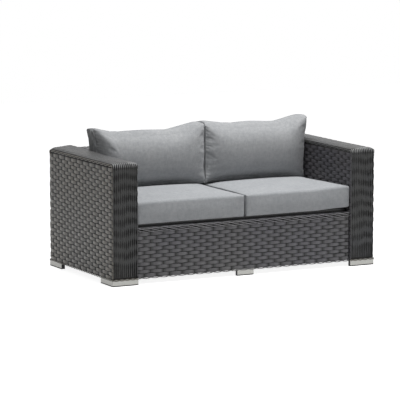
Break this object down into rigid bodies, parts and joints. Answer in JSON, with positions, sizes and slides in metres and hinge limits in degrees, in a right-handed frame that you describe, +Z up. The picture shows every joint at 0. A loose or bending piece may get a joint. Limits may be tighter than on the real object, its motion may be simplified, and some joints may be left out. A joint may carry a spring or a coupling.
{
  "type": "rattan garden sofa",
  "caption": "Low box-shaped garden sofa in flat grey rattan weave, with wide square arms, a straight back, a front skirt and loose boxed seat and back cushions.",
  "frame": {"origin": "on the floor, under the middle of the sofa", "axes": "+X to the right as seen from the front, +Y towards the back, +Z up"},
  "size_m": [1.5, 0.75, 0.7407],
  "materials": {
    "frame_steel": "black powder coat, satin",
    "rattan": "flat synthetic rattan strands, brushed grey, satin",
    "deck_sheet": "black woven plastic sheet, matt",
    "cushion_fabric": "fine plain weave, light grey, matt",
    "cushion_filling": "foam with polyester wadding",
    "foot_plastic": "moulded black, matt",
    "foot_aluminium": "brushed lengthwise",
    "zinc_steel": "zinc plated"
  },
  "bodies": {
    "sofa_frame": {"left_arm_frame": "frame_steel", "left_arm_wicker": "rattan", "bolt_left_front_lower": "zinc_steel", "bolt_left_front_upper": "zinc_steel", "bolt_left_rear_lower": "zinc_steel", "bolt_left_rear_upper": "zinc_steel", "right_arm_frame": "frame_steel", "right_arm_wicker": "rattan", "bolt_right_front_lower": "zinc_steel", "bolt_right_front_upper": "zinc_steel", "bolt_right_rear_lower": "zinc_steel", "bolt_right_rear_upper": "zinc_steel", "back_frame": "frame_steel", "back_wicker": "rattan", "skirt_frame": "frame_steel", "skirt_wicker": "rattan", "front_ledge": "frame_steel", "rear_ledge": "frame_steel", "seat_frame": "frame_steel", "seat_deck_sheet": "deck_sheet", "centre_beam": "frame_steel", "beam_bolt_front": "zinc_steel", "beam_bolt_rear": "zinc_steel", "foot_front_left": "foot_plastic", "foot_face_front_left": "foot_aluminium", "foot_screw_front_left_1": "zinc_steel", "foot_screw_front_left_2": "zinc_steel", "foot_front_right": "foot_plastic", "foot_face_front_right": "foot_aluminium", "foot_screw_front_right_1": "zinc_steel", "foot_screw_front_right_2": "zinc_steel", "foot_front_centre": "foot_plastic", "foot_face_front_centre": "foot_aluminium", "foot_screw_front_centre_1": "zinc_steel", "foot_screw_front_centre_2": "zinc_steel", "foot_rear_left": "foot_plastic", "foot_face_rear_left": "foot_aluminium", "foot_screw_rear_left_1": "zinc_steel", "foot_screw_rear_left_2": "zinc_steel", "foot_rear_right": "foot_plastic", "foot_face_rear_right": "foot_aluminium", "foot_screw_rear_right_1": "zinc_steel", "foot_screw_rear_right_2": "zinc_steel", "foot_rear_centre": "foot_plastic", "foot_face_rear_centre": "foot_aluminium", "foot_screw_rear_centre_1": "zinc_steel", "foot_screw_rear_centre_2": "zinc_steel"},
    "seat_cushion_left": {"seat_cushion_left_cover": "cushion_fabric", "seat_cushion_left_foam": "cushion_filling"},
    "seat_zip_left": {"seat_zip_slider_left": "zinc_steel"},
    "back_cushion_left": {"back_cushion_left_cover": "cushion_fabric", "back_cushion_left_foam": "cushion_filling"},
    "back_zip_left": {"back_zip_slider_left": "zinc_steel"},
    "seat_cushion_right": {"seat_cushion_right_cover": "cushion_fabric", "seat_cushion_right_foam": "cushion_filling"},
    "seat_zip_right": {"seat_zip_slider_right": "zinc_steel"},
    "back_cushion_right": {"back_cushion_right_cover": "cushion_fabric", "back_cushion_right_foam": "cushion_filling"},
    "back_zip_right": {"back_zip_slider_right": "zinc_steel"}
  },
  "joints": [
    {"name": "seat_cushion_left_lift", "type": "slide", "parent": "sofa_frame", "child": "seat_cushion_left", "axis": [0, 0, 1], "range_m": [0, 0.36]},
    {"name": "back_cushion_left_lift", "type": "slide", "parent": "seat_cushion_left", "child": "back_cushion_left", "axis": [0, 0, 1], "range_m": [0, 0.3]},
    {"name": "seat_zip_left_slide", "type": "slide", "parent": "seat_cushion_left", "child": "seat_zip_left", "axis": [1, 0, 0], "range_m": [0, 0.43]},
    {"name": "back_zip_left_slide", "type": "slide", "parent": "back_cushion_left", "child": "back_zip_left", "axis": [1, 0, 0], "range_m": [0, 0.43]},
    {"name": "seat_cushion_right_lift", "type": "slide", "parent": "sofa_frame", "child": "seat_cushion_right", "axis": [0, 0, 1], "range_m": [0, 0.36]},
    {"name": "back_cushion_right_lift", "type": "slide", "parent": "seat_cushion_right", "child": "back_cushion_right", "axis": [0, 0, 1], "range_m": [0, 0.3]},
    {"name": "seat_zip_right_slide", "type": "slide", "parent": "seat_cushion_right", "child": "seat_zip_right", "axis": [-1, 0, 0], "range_m": [0, 0.43]},
    {"name": "back_zip_right_slide", "type": "slide", "parent": "back_cushion_right", "child": "back_zip_right", "axis": [-1, 0, 0], "range_m": [0, 0.43]}
  ]
}
